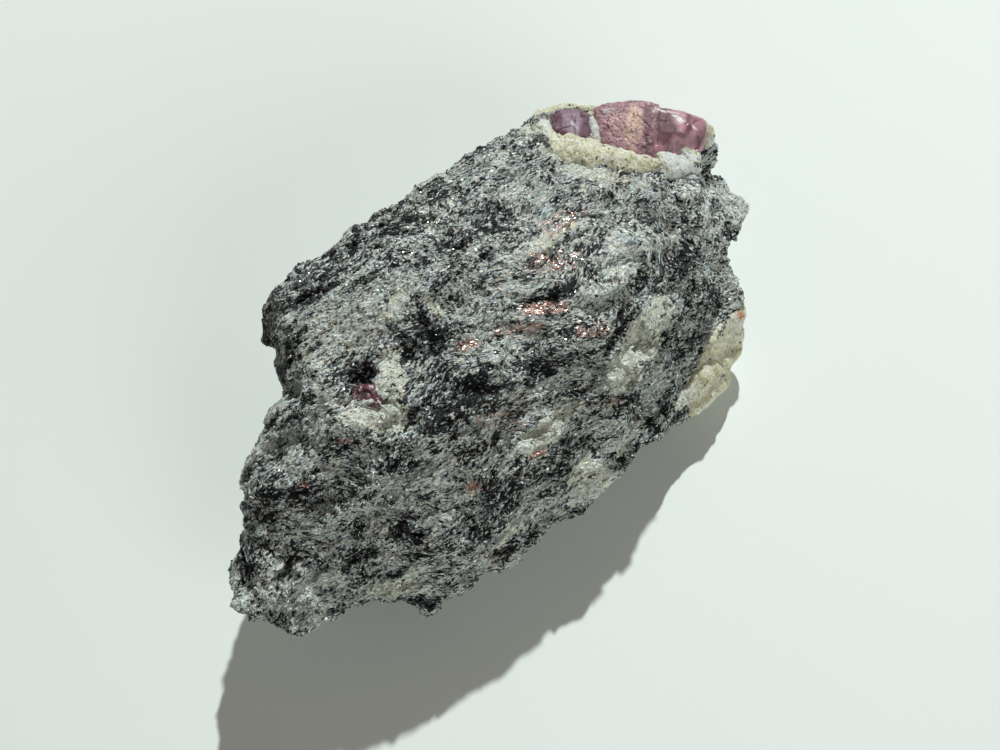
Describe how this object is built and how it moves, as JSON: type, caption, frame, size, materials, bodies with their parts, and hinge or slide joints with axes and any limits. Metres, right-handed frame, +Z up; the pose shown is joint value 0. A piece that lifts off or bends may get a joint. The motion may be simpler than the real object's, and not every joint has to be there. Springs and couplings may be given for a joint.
{
  "type": "ruby in matrix",
  "caption": "A rough chunk of dark mica gneiss with pinkish red ruby crystals in a rim of cream feldspar.",
  "frame": {"origin": "middle of the bounding box, on the flat underside that the stone rests on", "axes": "+X along the stone towards the ruby end, +Y across it towards the steep back, +Z up"},
  "size_m": [0.1076, 0.0576, 0.0377],
  "materials": {
    "gneiss": "rough broken rock, salt and pepper grain with glinting mica",
    "feldspar": "cream, slightly translucent, satin breaks",
    "ruby": "pinkish red, glossy on flat faces, grainy where broken"
  },
  "bodies": {
    "root": {"gneiss_matrix": "gneiss", "feldspar_rim": "feldspar", "feldspar_lump": "feldspar", "ruby_large": "ruby", "ruby_small": "ruby", "ruby_in_hollow": "ruby"}
  },
  "joints": []
}
